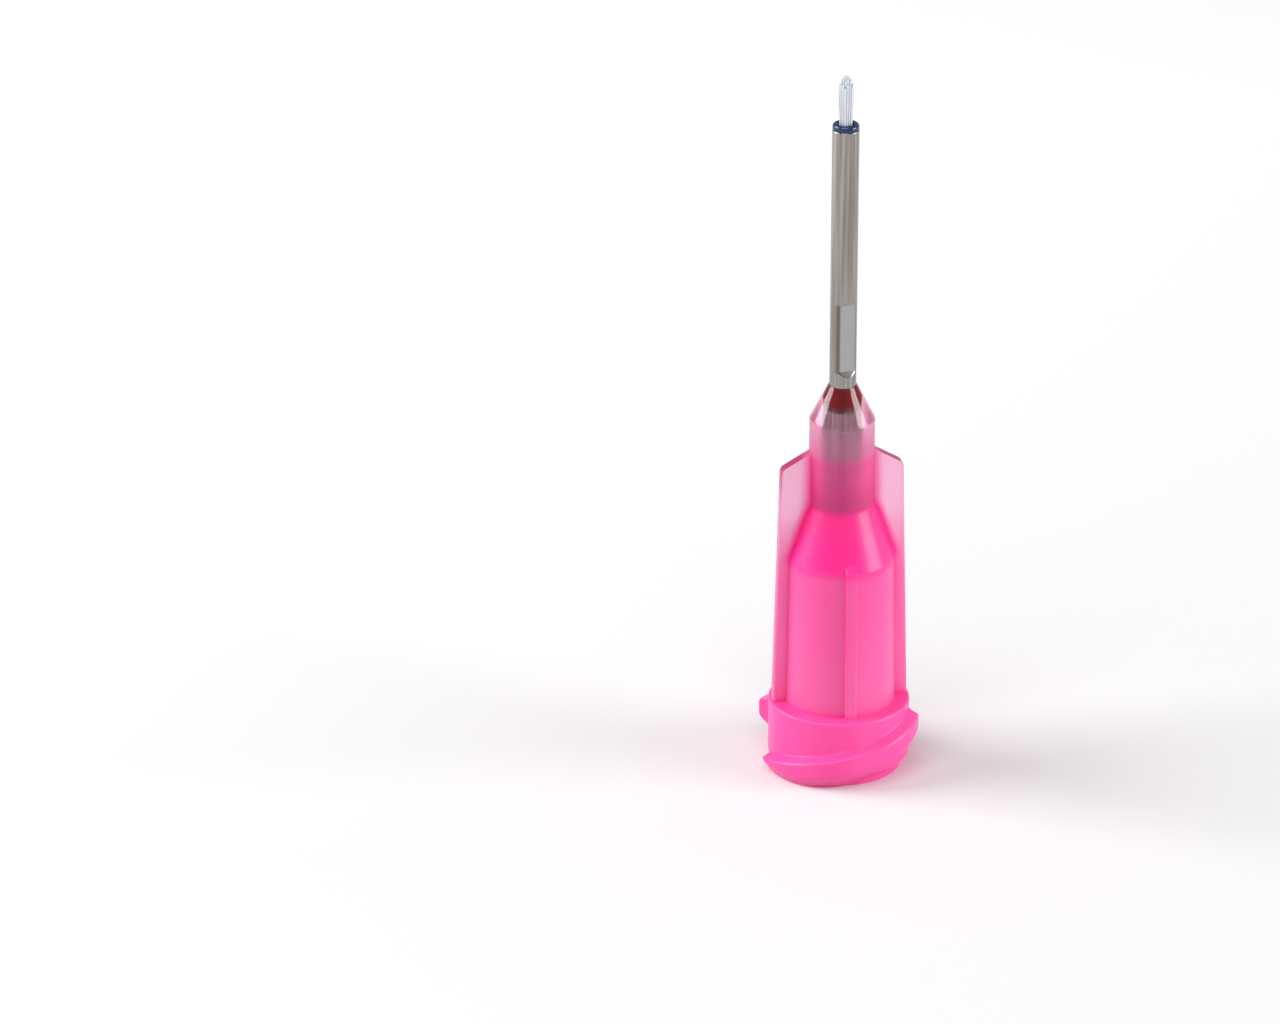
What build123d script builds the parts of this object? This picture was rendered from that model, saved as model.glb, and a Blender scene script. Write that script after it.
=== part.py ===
"""Brush-ended dispensing tip: a moulded hub with a lock thread, a crimped steel tube and a bristle bundle.

The tip stands on the rim of its socket. The origin is the centre of that rim, +Z runs up along the tube,
the two wings lie along X and the two ribs along Y. All sizes are in millimetres, all angles in degrees.
"""
import math
import os

from build123d import *

# Socket: the common conical fitting, a funnel above it and the tube's seat
socket_mouth_diameter = 4.30
socket_taper = 0.06  # loss of diameter for each millimetre of depth
socket_depth = 9.2
socket_chamfer = 0.12
funnel_height = 3.0

# Hub outside, with heights measured from the rim
rim_diameter = 5.9
rim_land = 0.25
base_diameter = 6.72
base_height = 3.4
base_chamfer = 0.1
body_lower_diameter = 5.28
body_upper_diameter = 5.06
shoulder_bottom = 10.7
shoulder_top = 13.4
shoulder_radius = 0.5
neck_diameter = 3.08
neck_corner_radius = 0.4
nose_bottom = 17.7
nose_radius = 0.25
nose_land = 0.04  # width of the flat ring around the tube
hub_height = 19.4

# Lock thread: two starts, right-handed, the flatter flank facing the tube
thread_starts = 2
thread_diameter = 7.76
thread_lead = 5.0
thread_crest = 0.85
pulling_flank_angle = 25.0
free_flank_angle = 45.0
thread_turn = 155.0
thread_end_angle = -20.0  # where the first start ends, from the +X wing
thread_end_height = 2.38
thread_root_depth = 0.3  # how far the thread is rooted in the base
lead_in_depth = 0.42
lead_in_height = 0.6

# Wings and ribs: two crossed plates through the hub
wing_thickness = 0.6
wing_lower_span = 6.52
wing_upper_span = 5.86
wing_tip_height = 15.3
wing_root_height = 16.1
wing_corner_radius = 0.35
rib_thickness = 0.55
rib_lower_span = 5.72
rib_upper_span = 5.46
rib_tip_height = 10.8
rib_root_height = 11.7
plate_root_depth = 0.4  # how far both plates are rooted in the base
plate_edge_radius = 0.1

# Steel tube
tube_outer_diameter = 1.27
tube_wall = 0.1525
tube_exposed_length = 12.7
tube_seat_depth = 6.7
tube_mouth_radius = 0.05

# Crimp: two opposed flats with sloped ends
crimp_turn = 10.0  # of the flats' facing, from the Y axis
crimp_offset = 0.5  # from the hub's top
crimp_flat_length = 3.2
crimp_ramp = 0.35
crimp_clearance = 0.004

# Sleeve and bristles
sleeve_wall = 0.1
sleeve_clearance = 0.005
sleeve_gap = 0.4  # from the crimp
collar_height = 0.3
collar_inset = 0.01  # from the tube's outside
collar_chamfer = 0.08
bristle_diameter = 0.105
bristle_gap = 0.001
bristle_exposed_length = 2.65
bristle_dome = 0.55  # how much shorter the outermost bristles are

# Worked out: hub
socket_mouth_radius = socket_mouth_diameter / 2
socket_end_radius = socket_mouth_radius - socket_taper * socket_depth / 2
funnel_top = socket_depth + funnel_height
rim_radius = rim_diameter / 2
base_radius = base_diameter / 2
rim_chamfer = base_radius - rim_radius
neck_radius = neck_diameter / 2
thread_radius = thread_diameter / 2
thread_root_radius = base_radius - thread_root_depth
thread_rise = thread_lead * thread_turn / 360
free_run = (thread_radius - thread_root_radius) * math.tan(math.radians(free_flank_angle))
pulling_run = (thread_radius - thread_root_radius) * math.tan(math.radians(pulling_flank_angle))
plate_bottom = base_height - plate_root_depth

# Worked out: tube, sleeve and bristles
tube_radius = tube_outer_diameter / 2
bore_radius = tube_radius - tube_wall
tube_bottom = hub_height - tube_seat_depth
tube_top = hub_height + tube_exposed_length
sleeve_radius = bore_radius - sleeve_clearance
sleeve_bore_radius = sleeve_radius - sleeve_wall
bristle_radius = bristle_diameter / 2
bristle_pitch = bristle_diameter + bristle_gap
bristle_rings = int((sleeve_bore_radius - bristle_radius) / bristle_pitch)
bristle_row_spacing = bristle_pitch * math.sqrt(3) / 2
bundle_radius = bristle_rings * bristle_pitch
crimp_inner = bristle_rings * bristle_row_spacing + bristle_radius + crimp_clearance
crimp_outer = crimp_inner + tube_wall
crimp_bottom = hub_height + crimp_offset
flat_bottom = crimp_bottom + crimp_ramp
flat_top = flat_bottom + crimp_flat_length
crimp_top = flat_top + crimp_ramp
sleeve_bottom = crimp_top + sleeve_gap
collar_radius = tube_radius - collar_inset
collar_bottom = tube_top + sleeve_clearance
collar_top = collar_bottom + collar_height
bristle_tip = tube_top + bristle_exposed_length

os.makedirs("parts", exist_ok=True)


def write(piece, label):
    """Label a finished piece and write it under the same name."""
    piece.part.label = label
    export_step(piece.part, f"parts/{label}.step")


def cross_plate(plane, thickness, lower_span, upper_span, tip_height, root_height, corner_radius):
    """A thin upright plate through the axis, tapering upwards, whose top slopes up to the neck."""
    with BuildPart() as plate:
        with BuildSketch(plane):
            with BuildLine():
                FilletPolyline(
                    (0, plate_bottom),
                    (lower_span / 2, plate_bottom),
                    (upper_span / 2, tip_height),
                    (neck_radius, root_height),
                    (0, root_height),
                    radius=(0, 0, corner_radius, 0, 0),
                    close=True,
                )
            make_face()
            mirror(about=Plane.YZ)
        extrude(amount=thickness / 2, both=True)
        outline = plate.faces().filter_by(plane).edges()
        above_foot = outline.filter_by(lambda edge: edge.center().Z > plate_bottom + plate_edge_radius)
        fillet(above_foot, plate_edge_radius)
    return plate.part


# One start of the lock thread, beginning at height zero on the X axis
with BuildPart() as thread:
    with BuildLine() as thread_path:
        Helix(thread_lead, thread_rise, base_radius)
    with BuildSketch(Plane.XZ):
        with BuildLine():
            Polyline(
                (thread_root_radius, -thread_crest / 2 - free_run),
                (thread_radius, -thread_crest / 2),
                (thread_radius, thread_crest / 2),
                (thread_root_radius, thread_crest / 2 + pulling_run),
                close=True,
            )
        make_face()
    sweep(path=thread_path.line, is_frenet=True)

wings = cross_plate(
    Plane.XZ, wing_thickness, wing_lower_span, wing_upper_span,
    wing_tip_height, wing_root_height, wing_corner_radius,
)
ribs = cross_plate(
    Plane.YZ, rib_thickness, rib_lower_span, rib_upper_span,
    rib_tip_height, rib_root_height, 0,
)

# Hub: turned outline, wings, ribs and thread, then the lead-in and everything inside
with BuildPart() as hub:
    with BuildSketch(Plane.XZ):
        with BuildLine():
            FilletPolyline(
                (0, 0),
                (rim_radius, 0),
                (rim_radius, rim_land),
                (base_radius, rim_land + rim_chamfer),
                (base_radius, base_height - base_chamfer),
                (base_radius - base_chamfer, base_height),
                (body_lower_diameter / 2, base_height),
                (body_upper_diameter / 2, shoulder_bottom),
                (neck_radius, shoulder_top),
                (neck_radius, nose_bottom),
                (tube_radius + nose_land, hub_height),
                (0, hub_height),
                radius=(0, 0, 0, 0, 0, 0, 0, shoulder_radius, neck_corner_radius, nose_radius, 0, 0),
                close=True,
            )
        make_face()
    revolve(axis=Axis.Z)
    add(wings)
    add(ribs)
    with PolarLocations(0, thread_starts, start_angle=thread_end_angle - thread_turn):
        with Locations((0, 0, thread_end_height - thread_rise)):
            add(thread.part)
    split(bisect_by=Plane.XY, keep=Keep.TOP)
    with BuildSketch(Plane.XZ):
        with BuildLine():
            Polyline(
                (thread_radius - lead_in_depth, 0),
                (thread_radius + lead_in_depth, 0),
                (thread_radius + lead_in_depth, 2 * lead_in_height),
                close=True,
            )
        make_face()
        with BuildLine():
            Polyline(
                (0, 0),
                (socket_mouth_radius + socket_chamfer, 0),
                (socket_mouth_radius, socket_chamfer),
                (socket_end_radius, socket_depth),
                (bore_radius, funnel_top),
                (bore_radius, tube_bottom),
                (tube_radius, tube_bottom),
                (tube_radius, hub_height),
                (0, hub_height),
                close=True,
            )
        make_face()
    revolve(axis=Axis.Z, mode=Mode.SUBTRACT)
write(hub, "hub")

crimp_facing = Vector(0, 1).rotate(Axis.Z, crimp_turn)
crimp_plane = Plane((0, 0, 0), x_dir=crimp_facing, z_dir=crimp_facing.cross(Vector(0, 0, 1)))


def crimp_dies(flat, reach):
    """The two wedge-ended blocks outside a pair of flats, both at the given distance from the axis."""
    with BuildPart() as dies:
        with BuildSketch(crimp_plane):
            with BuildLine():
                Polyline(
                    (flat, flat_bottom),
                    (flat, flat_top),
                    (reach, crimp_top),
                    (reach, crimp_bottom),
                    close=True,
                )
            make_face()
            mirror(about=Plane.YZ)
        extrude(amount=tube_outer_diameter, both=True)
    return dies.part


# The tube's wall keeps its thickness where the flats are pressed in
outer_dies = crimp_dies(crimp_outer, tube_radius)
inner_dies = crimp_dies(crimp_inner, bore_radius)

with BuildPart() as bore:
    with BuildSketch(Plane.XY.offset(tube_bottom)):
        Circle(bore_radius)
    extrude(amount=tube_top - tube_bottom)
    add(inner_dies, mode=Mode.SUBTRACT)

with BuildPart() as tube:
    with BuildSketch(Plane.XY.offset(tube_bottom)):
        Circle(tube_radius)
    extrude(amount=tube_top - tube_bottom)
    fillet(tube.faces().sort_by(Axis.Z)[-1].edges(), tube_mouth_radius)
    add(outer_dies, mode=Mode.SUBTRACT)
    add(bore.part, mode=Mode.SUBTRACT)
write(tube, "tube")

# Sleeve between the tube and the bristles, with a collar on the tube's mouth
with BuildPart() as sleeve:
    with BuildSketch(Plane.XZ):
        with BuildLine():
            Polyline(
                (sleeve_bore_radius, sleeve_bottom),
                (sleeve_radius, sleeve_bottom),
                (sleeve_radius, collar_bottom),
                (collar_radius, collar_bottom),
                (collar_radius, collar_top - collar_chamfer),
                (collar_radius - collar_chamfer, collar_top),
                (sleeve_bore_radius, collar_top),
                close=True,
            )
        make_face()
    revolve(axis=Axis.Z)
write(sleeve, "bristle_sleeve")


def bristle_places():
    """Centres of a hexagonal bundle, row by row, with its flat sides facing the crimp flats."""
    for row in range(-bristle_rings, bristle_rings + 1):
        in_row = 2 * bristle_rings + 1 - abs(row)
        for column in range(in_row):
            place = Vector((column - (in_row - 1) / 2) * bristle_pitch, row * bristle_row_spacing)
            yield place.rotate(Axis.Z, crimp_turn)


# Bristles: cut square, the outer ones shorter, so that the bundle ends in a dome
for number, place in enumerate(bristle_places(), start=1):
    drop = bristle_dome * (place.length / bundle_radius) ** 2
    with BuildPart() as bristle:
        with BuildSketch(Plane.XY.offset(flat_bottom)):
            with Locations(place):
                Circle(bristle_radius)
        extrude(amount=bristle_tip - drop - flat_bottom)
    write(bristle, f"bristle_{number:02d}")
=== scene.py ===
"""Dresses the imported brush-ended dispensing tip and stands it on a pale studio floor.

Laid out as an add-on: each operator makes one piece as a surface worked out with numpy, in metres and in the
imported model's frame, and a panel in the 3D view's sidebar lists them. Heights are measured from the rim.
"""
import math

import bmesh
import bpy
import numpy as np
from mathutils import Matrix, Vector


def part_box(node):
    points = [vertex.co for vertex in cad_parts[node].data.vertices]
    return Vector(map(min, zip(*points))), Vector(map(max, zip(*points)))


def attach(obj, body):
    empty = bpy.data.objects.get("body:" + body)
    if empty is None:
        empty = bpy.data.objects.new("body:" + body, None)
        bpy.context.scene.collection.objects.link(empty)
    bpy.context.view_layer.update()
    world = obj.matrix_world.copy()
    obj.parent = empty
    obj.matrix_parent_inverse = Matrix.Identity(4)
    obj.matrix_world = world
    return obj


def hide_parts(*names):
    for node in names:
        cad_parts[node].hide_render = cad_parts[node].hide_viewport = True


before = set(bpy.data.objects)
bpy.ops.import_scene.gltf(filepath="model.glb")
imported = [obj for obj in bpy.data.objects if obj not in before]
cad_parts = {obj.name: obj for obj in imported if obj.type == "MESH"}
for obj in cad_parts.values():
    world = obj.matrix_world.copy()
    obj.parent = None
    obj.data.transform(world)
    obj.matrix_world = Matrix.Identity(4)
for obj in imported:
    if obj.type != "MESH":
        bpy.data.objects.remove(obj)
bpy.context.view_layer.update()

bl_info = {
    "name": "Dispensing tip",
    "version": (1, 0, 0),
    "blender": (4, 5, 0),
    "location": "3D View > Sidebar > Tip",
    "description": "Builds the visible surfaces of a brush-ended dispensing tip and its studio",
    "category": "Object",
}

MM = 0.001
NEGLIGIBLE = 0.00001 * MM
TOLERANCE = 0.001 * MM
SHARP_EDGE = math.radians(40)
CAMERA_CLIP = 0.01
STEEL_DETAIL = 4

# Keeps the plane of a crimp flat finite at the tube's sides
LEAST_FACING = 0.2

# Longest steps along an outline
FINE, EVEN, COARSE = 0.05 * MM, 0.12 * MM, 0.5 * MM
TUBE_FINE, TUBE_COARSE = 0.04 * MM, 0.4 * MM

# Numbers of points along and around the pieces
ARC_POINTS = 9
PLATE_EDGE_POINTS = 5
PLATE_BEND_POINTS = 6
PLATE_SIDE_POINTS = 9
BODY_POINTS = 46
TUBE_POINTS = 144
SLEEVE_POINTS = 72
BRISTLE_STEM_POINTS = 64
BRISTLE_TIP_POINTS = 6
BRISTLE_POINTS = 10

hub_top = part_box("hub")[1]
tube_low, tube_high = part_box("tube")
sleeve_low, sleeve_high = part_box("bristle_sleeve")
bristle_nodes = sorted(set(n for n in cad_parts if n.startswith("bristle_")) - {"bristle_sleeve"})
bristle_boxes = np.array([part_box(name) for name in bristle_nodes])


def length(name, description, default):
    """A length property, its default in metres."""
    return bpy.props.FloatProperty(
        name=name, description=description, default=default, unit="LENGTH", precision=6)


def angle(name, description, degrees):
    """An angle property, its default in degrees."""
    return bpy.props.FloatProperty(
        name=name, description=description, default=math.radians(degrees), subtype="ANGLE")


def colour(name, description, default):
    """A colour property, its default in linear red, green and blue."""
    return bpy.props.FloatVectorProperty(
        name=name, description=description, default=default, subtype="COLOR", size=3, min=0, max=1)


def share(name, description, default):
    """A plain number property without a unit."""
    return bpy.props.FloatProperty(name=name, description=description, default=default, min=0)


def lengths(name, description, default):
    """A property of two or three lengths, its default in metres."""
    return bpy.props.FloatVectorProperty(
        name=name, description=description, default=default, size=len(default), unit="LENGTH")


def pixels(name, description, default):
    """A property of two numbers of pixels, across and down."""
    return bpy.props.FloatVectorProperty(name=name, description=description, default=default, size=2)


class TipHub(bpy.types.PropertyGroup):
    """Sizes and look of the moulded hub."""

    height: length("Height", "From the rim to the ring around the tube", hub_top.z)
    socket_mouth: length("Socket mouth", "Radius of the socket at the rim", 2.15 * MM)
    socket_taper: share("Socket taper", "Loss of the socket's radius with its depth", 0.03)
    socket_depth: length("Socket depth", "Depth of the conical socket", 9.2 * MM)
    socket_chamfer: length("Socket chamfer", "Chamfer at the socket's mouth", 0.12 * MM)
    funnel_top: length("Funnel top", "Height at which the funnel above the socket ends", 12.2 * MM)
    rim_radius: length("Rim radius", "Outer radius of the rim", 2.95 * MM)
    rim_land: length("Rim land", "Height of the upright edge of the rim", 0.25 * MM)
    base_radius: length("Base radius", "Radius of the round base under the thread", 3.36 * MM)
    base_height: length("Base height", "Height of the base", 3.4 * MM)
    base_rounding: length("Base rounding", "Rounding of the base's upper edge", 0.12 * MM)
    base_fall: length("Base fall", "Fall of the base's top towards its edge", 0.012 * MM)
    body_lower: length("Lower body", "Radius of the body where it leaves the base", 2.64 * MM)
    body_upper: length("Upper body", "Radius of the body at its shoulder", 2.53 * MM)
    shoulder_bottom: length("Shoulder bottom", "Height at which the shoulder begins", 10.7 * MM)
    shoulder_top: length("Shoulder top", "Height at which the shoulder meets the neck", 13.4 * MM)
    shoulder_rounding: length("Shoulder rounding", "Rounding below the shoulder", 0.5 * MM)
    neck_radius: length("Neck radius", "Radius of the neck", 1.54 * MM)
    neck_rounding: length("Neck rounding", "Rounding between shoulder and neck", 0.4 * MM)
    nose_bottom: length("Nose bottom", "Height at which the nose cone begins", 17.7 * MM)
    nose_rounding: length("Nose rounding", "Rounding below the nose cone", 0.25 * MM)
    nose_land: length("Nose land", "Width of the flat ring around the tube", 0.04 * MM)
    seat_squeeze: length("Seat squeeze", "How far the moulding closes into the tube's wall", 0.03 * MM)

    thread_radius: length("Thread radius", "Radius of the thread's crest", hub_top.y)
    thread_lead: length("Thread lead", "Rise of the thread in a full turn", 5.0 * MM)
    thread_crest: length("Thread crest", "Height of the thread's crest", 0.85 * MM)
    thread_rounding: length("Thread rounding", "Softness of the crest's edges", 0.1 * MM)
    pulling_flank: angle("Pulling flank", "Slope of the flank that faces the tube", 25)
    free_flank: angle("Free flank", "Slope of the flank that faces the rim", 45)
    thread_turn: angle("Thread turn", "Angle through which each start runs", 155)
    thread_end: angle("Thread end", "Where the first start ends, from the +X wing", -20)
    thread_fade: angle("Thread fade", "Angle in which the thread rises at its ends", 3)
    thread_end_height: length("Thread end height", "Height of the crest's middle at a start's end", 2.38 * MM)
    lead_in_depth: length("Lead-in depth", "How far the crest is cut back at the rim", 0.42 * MM)
    lead_in_height: length("Lead-in height", "Height of that cut", 0.6 * MM)

    plate_bottom: length("Plate bottom", "Height at which wings and ribs are rooted in the base", 3.0 * MM)
    plate_rounding: length("Plate rounding", "Rounding of the edges of wings and ribs", 0.1 * MM)
    wing_thickness: length("Wing thickness", "Thickness of a wing", 0.6 * MM)
    wing_lower: length("Lower wing reach", "Reach of a wing at the base", 3.26 * MM)
    wing_upper: length("Upper wing reach", "Reach of a wing at its upper corner", 2.93 * MM)
    wing_tip: length("Wing tip height", "Height of a wing's upper corner", 15.3 * MM)
    wing_root: length("Wing root height", "Height at which a wing meets the neck", 16.1 * MM)
    wing_corner: length("Wing corner", "Rounding of a wing's upper corner", 0.35 * MM)
    rib_thickness: length("Rib thickness", "Thickness of a rib", 0.55 * MM)
    rib_lower: length("Lower rib reach", "Reach of a rib at the base", 2.86 * MM)
    rib_upper: length("Upper rib reach", "Reach of a rib at its upper corner", 2.73 * MM)
    rib_tip: length("Rib tip height", "Height of a rib's upper corner", 10.8 * MM)
    rib_root: length("Rib root height", "Height at which a rib's top would meet the neck", 11.7 * MM)

    clearest: colour("Clear pink", "Colour of the nose", (1.0, 0.96, 0.98))
    pale: colour("Pale pink", "Colour where the wall is thin", (0.97, 0.50, 0.73))
    middle: colour("Middle pink", "Colour of the body", (1.0, 0.09, 0.40))
    deep: colour("Deep pink", "Colour where the wall is thick", (0.97, 0.015, 0.235))
    deepest: share("Deepest", "Thinness up to which the deep pink holds", 0.05)
    mottle: share("Mottle", "How far faint clouds shift the thinness", 0.067)
    mottle_grain: share("Mottle grain", "Clouds of colour in each metre", 400)
    mottle_stretch: share("Mottle stretch", "How much longer the clouds are along the axis", 2.5)
    edge: colour("Edge pink", "Colour along the upper edges of the wings", (0.55, 0.03, 0.18))
    edge_blur: share("Edge blur", "Share of a wing's half thickness in which that colour ends", 0.125)
    edge_fade: length("Edge fade", "Height below a wing's corner in which it fades", 2.1 * MM)
    edge_rest: share("Edge rest", "Share of it that is left farther down", 0.35)
    wing_blend: length("Wing blend", "Reach in which a wing takes on its own look", 0.4 * MM)
    absorbed: colour("Depth pink", "Colour that light takes on in the thickness", (1.0, 0.30, 0.66))
    density: share("Density", "How fast it takes on that colour, in each metre", 210)
    cloudy: share("Cloudy", "Share of the light that passes through the body", 0.22)
    clear: share("Clear", "Share of the light that passes through the nose", 1)
    refraction: share("Refraction", "Refractive index of the plastic", 1.49)
    gloss: share("Gloss", "Level of its plain reflection", 0.35)
    coat: share("Coat", "Weight of the shine on top", 0.1)
    coat_roughness: share("Coat roughness", "Roughness of the shine on top", 0.1)
    roughness: share("Roughness", "Roughness of body and wings", 0.34)
    skin: share("Skin", "How much rougher the skin gets in places", 0.1)
    skin_grain: share("Skin grain", "Rougher places in each metre", 900)
    dimple_grain: share("Dimple grain", "Dimples of the moulded skin in each metre", 800)
    dimple_depth: length("Dimple depth", "Depth of the dimples", 0.002 * MM)
    dimple_strength: share("Dimple strength", "How strongly the dimples show", 0.12)


class TipTube(bpy.types.PropertyGroup):
    """Sizes and look of the steel tube."""

    radius: length("Radius", "Outer radius of the tube", tube_high.x)
    bottom: length("Bottom", "Height of the end in the hub", tube_low.z)
    top: length("Top", "Height of the open end", tube_high.z)
    wall: length("Wall", "Thickness of the wall", 0.1525 * MM)
    mouth_rounding: length("Mouth rounding", "Rounding of the open end", 0.05 * MM)
    crimp_bottom: length("Crimp bottom", "Height at which the crimp begins", 19.9 * MM)
    crimp_top: length("Crimp top", "Height at which the crimp ends", 23.8 * MM)
    crimp_ramp: length("Crimp ramp", "Height of the slope at either end of the flats", 0.35 * MM)
    crimp_flat: length("Crimp flat", "Distance of a flat from the axis", 0.4829 * MM)
    crimp_rounding: length("Crimp rounding", "Softness of the edges of the flats", 0.03 * MM)
    crimp_turn: angle("Crimp turn", "Facing of the flats, from the Y axis", 10)

    bright: colour("Bright steel", "Colour of the lines that shine", (0.42, 0.39, 0.37))
    dull: colour("Dull steel", "Colour of the lines between them", (0.24, 0.215, 0.20))
    line_grain: share("Line grain", "Drawn lines in each metre", 9000)
    line_stretch: share("Line stretch", "How much longer the lines are along the tube", 60)
    line_depth: length("Line depth", "Depth of the lines", 0.002 * MM)
    line_strength: share("Line strength", "How strongly the lines show", 0.6)
    smoothest: share("Smoothest", "Least roughness", 0.16)
    roughest: share("Roughest", "Greatest roughness", 0.28)
    polish_grain: share("Polish grain", "Duller places in each metre", 3000)
    polish_stretch: share("Polish stretch", "How much longer they are along the tube", 8)
    # Painted reflection: the flats are lighter because they mirror the bright surroundings
    pressed: colour("Painted flat reflection", "Colour of the flats of the crimp", (0.39, 0.385, 0.385))
    # Painted shade: darker along the edges of the flats, more at one edge than the other, for the shade on
    # their rounded edges
    painted_crease_shade: colour("Painted crease shade", "Colour along the edges of the flats", (0.155, 0.14, 0.13))
    painted_crease_width: length("Crease width", "Width of that line on the flat's side of an edge", 0.035 * MM)
    painted_crease_reach: length("Crease reach", "Width of that line on the round side of an edge", 0.3 * MM)
    painted_crease_rest: share("Crease rest", "Share of it at the other edge of each flat", 0.2)
    # Painted shade and pink tint: the steel is dark red where the nose's thick plastic covers it, for how the
    # tube looks through the plastic
    painted_nose_shade: colour("Painted nose shade", "Colour where the nose holds the tube", (0.55, 0.003, 0.04))
    painted_nose_shade_bottom: length("Stain bottom", "Height at which that colour begins", 18.35 * MM)
    painted_nose_shade_top: length("Stain top", "Height at which that colour ends", hub_top.z)
    painted_nose_shade_fade: length("Stain fade", "Height in which that colour fades at either end", 0.12 * MM)


class TipSleeve(bpy.types.PropertyGroup):
    """Sizes and look of the sleeve between tube and bristles."""

    collar_radius: length("Collar radius", "Outer radius of the collar on the tube's mouth", sleeve_high.x)
    bottom: length("Bottom", "Height of the lower end", sleeve_low.z)
    top: length("Top", "Height of the upper end", sleeve_high.z)
    collar_height: length("Collar height", "Height of the collar", 0.3 * MM)
    radius: length("Radius", "Outer radius inside the tube", 0.4775 * MM)
    bore: length("Bore", "Inner radius", 0.3775 * MM)
    outer_rounding: length("Outer rounding", "Rounding of the collar's outer edge", 0.16 * MM)
    inner_rounding: length("Inner rounding", "Rounding of the collar's inner edge", 0.08 * MM)

    light: colour("Light blue", "Colour of the lighter places", (0.012, 0.035, 0.11))
    dark: colour("Dark blue", "Colour of the darker places", (0.004, 0.011, 0.045))
    grain: share("Grain", "Lighter places in each metre", 3000)
    refraction: share("Refraction", "Refractive index of the plastic", 1.5)
    smoothest: share("Smoothest", "Least roughness", 0.1)
    roughest: share("Roughest", "Greatest roughness", 0.2)
    polish_grain: share("Polish grain", "Duller places in each metre", 6000)


class TipBristles(bpy.types.PropertyGroup):
    """Shape and look of the bristle bundle."""

    waist: share("Waist", "Width of the bundle at the collar, as a share of that in the sleeve", 0.90)
    waist_run: share("Waist run", "Run below the mouth to the waist, in free lengths", 0.25)
    swell: share("Swell", "Greatest width of the bundle, as a share of that in the sleeve", 1.03)
    swell_start: share("Swell start", "Where the bundle begins to swell, in free lengths", 0.05)
    swell_run: share("Swell run", "Run in which it swells, in free lengths", 0.4)
    stray: length("Stray", "How far a tip strays from its place", 0.006 * MM)
    seed: bpy.props.IntProperty(name="Seed", description="Chooses how the bristles stray", default=7)

    light: colour("Light nylon", "Colour of the palest bristles", (0.72, 0.75, 0.78))
    dark: colour("Dark nylon", "Colour of the darkest bristles", (0.57, 0.60, 0.66))
    darkest: share("Darkest", "Shade up to which the dark colour holds", 0.4)
    lightest: share("Lightest", "Shade from which the light colour holds", 0.9)
    difference: share("Difference", "How much the shade differs between bristles", 0.3)
    streak_grain: share("Streak grain", "Streaks in each metre", 12000)
    streak_stretch: share("Streak stretch", "How much longer they are along the bristles", 12)
    refraction: share("Refraction", "Refractive index of the nylon", 1.53)
    clear: share("Clear", "Share of the light that passes through", 0.15)
    smoothest: share("Smoothest", "Least roughness", 0.35)
    roughest: share("Roughest", "Greatest roughness", 0.5)


class TipStage(bpy.types.PropertyGroup):
    """Floor, light and camera."""

    floor_size: length("Floor size", "Width of the floor", 4.0)
    floor_gap: length("Floor gap", "How far the floor lies below the rim", 0.01 * MM)
    # Painted shade: the floor is darker at the front and paler at the back, for the fall of the light
    floor_light: colour("Light floor", "Colour of the floor at the back", (0.80, 0.80, 0.80))
    floor_dark: colour("Dark floor", "Colour of the floor at the front", (0.70, 0.695, 0.70))
    floor_fade: length("Floor fade", "Depth over which the floor gets paler", 0.09)
    floor_cloud: length("Floor cloud", "How far faint clouds shift that depth", 0.01125)
    floor_grain: share("Floor grain", "Clouds in each metre", 8)
    floor_roughness: share("Floor roughness", "Roughness of the floor", 0.9)
    floor_gloss: share("Floor gloss", "Level of the floor's plain reflection", 0.1)

    world: share("World", "Strength of the light from all round", 0.38)
    key: share("Key", "Power of the lamp on the left, in watts", 2.75)
    key_place: lengths("Key place", "Place of that lamp", (-0.425, 0.118, 0.254))
    key_size: lengths("Key size", "Width and height of that lamp", (0.34, 0.34))
    fill: share("Fill", "Power of the lamp on the right, in watts", 2.3)
    fill_place: lengths("Fill place", "Place of that lamp", (0.446, -0.194, 0.132))
    fill_size: lengths("Fill size", "Width and height of that lamp", (0.30, 0.30))
    front: share("Front", "Power of the lamp in front, in watts", 1.6)
    front_place: lengths("Front place", "Place of that lamp", (-0.140, -0.300, 0.480))
    front_size: lengths("Front size", "Width and height of that lamp", (0.50, 0.30))

    azimuth: angle("Azimuth", "Camera's turn about the tip", -10.5)
    elevation: angle("Elevation", "Camera's height angle", 23.6)
    distance: length("Distance", "Depth of the rim's centre in front of the camera", 0.33493)
    sensor: share("Sensor", "Width of the camera's sensor, in millimetres", 36)
    lens: share("Lens", "Focal length, in millimetres", 196.875)
    image_size: pixels("Image size", "Width and height of the picture", (1280, 1024))
    rim_pixel: pixels("Rim pixel", "Where the rim's centre lies in the picture", (838, 758.5))


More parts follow.
